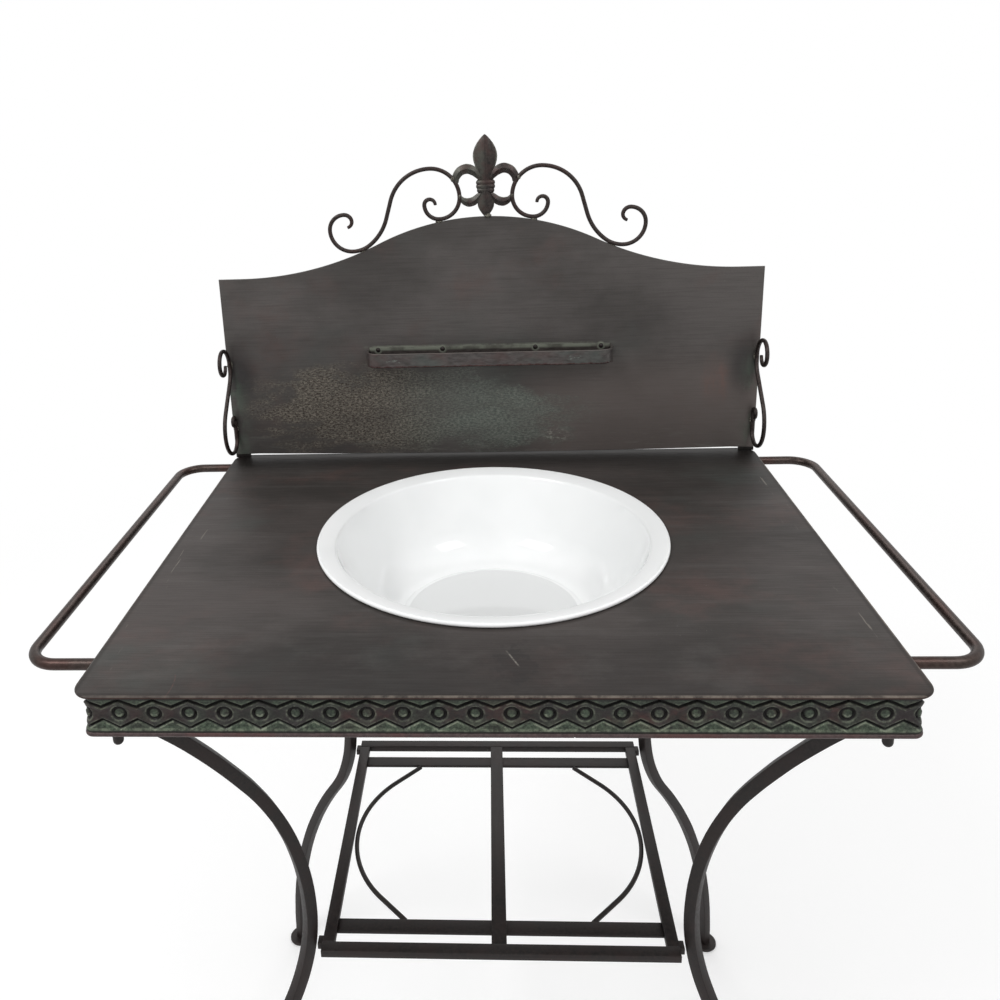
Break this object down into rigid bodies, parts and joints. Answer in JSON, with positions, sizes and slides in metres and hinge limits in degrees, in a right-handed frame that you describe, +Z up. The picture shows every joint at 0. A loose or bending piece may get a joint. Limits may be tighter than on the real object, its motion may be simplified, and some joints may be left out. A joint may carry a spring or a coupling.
{
  "type": "wash basin stand",
  "caption": "Iron wash stand on bowed legs with a drop-in round basin, a scrolled back panel with a soap rail, a towel bar at each side and an open lower shelf.",
  "frame": {"origin": "on the floor at the middle of the table's outline", "axes": "+Z up, -Y towards the user in front, +X to the user's right"},
  "size_m": [0.8, 0.52, 1.1548],
  "materials": {
    "iron": "brushed, dark bronze-brown patina with pale worn patches",
    "dark_iron": "dark brown waxed iron with bare weld flecks",
    "red_iron": "reddish-brown patina",
    "verdigris": "embossed band with a grey-green patina",
    "enamel": "glossy white enamel"
  },
  "bodies": {
    "stand": {"tabletop": "iron", "apron_front": "verdigris", "apron_back": "verdigris", "apron_left": "verdigris", "apron_right": "verdigris", "rim_rod": "red_iron", "corner_plate_front_left": "dark_iron", "corner_plate_front_right": "dark_iron", "corner_plate_back_left": "dark_iron", "corner_plate_back_right": "dark_iron", "corner_studs": "dark_iron", "domed_nuts": "dark_iron", "leg_front_left": "dark_iron", "leg_front_right": "dark_iron", "leg_back_left": "dark_iron", "leg_back_right": "dark_iron", "pad_front_left": "dark_iron", "pad_front_right": "dark_iron", "pad_back_left": "dark_iron", "pad_back_right": "dark_iron", "shelf_bar_front": "dark_iron", "shelf_bar_back": "dark_iron", "shelf_bar_left": "dark_iron", "shelf_bar_right": "dark_iron", "shelf_slat_front": "dark_iron", "shelf_slat_back": "dark_iron", "shelf_middle_bar": "dark_iron", "shelf_strap_left": "dark_iron", "shelf_strap_right": "dark_iron", "shelf_lugs": "dark_iron", "back_panel": "iron", "panel_tabs": "iron", "soap_rail": "red_iron", "soap_tray": "dark_iron", "rail_rivets": "dark_iron", "finial": "iron", "crest_scroll_left": "dark_iron", "crest_scroll_right": "dark_iron", "side_scroll_left": "dark_iron", "side_scroll_right": "dark_iron", "towel_bar_left": "dark_iron", "towel_bar_right": "dark_iron"},
    "basin": {"basin": "enamel"}
  },
  "joints": [
    {"name": "basin_lift", "type": "slide", "parent": "stand", "child": "basin", "axis": [0, 0, 1], "range_m": [0, 0.15]}
  ]
}
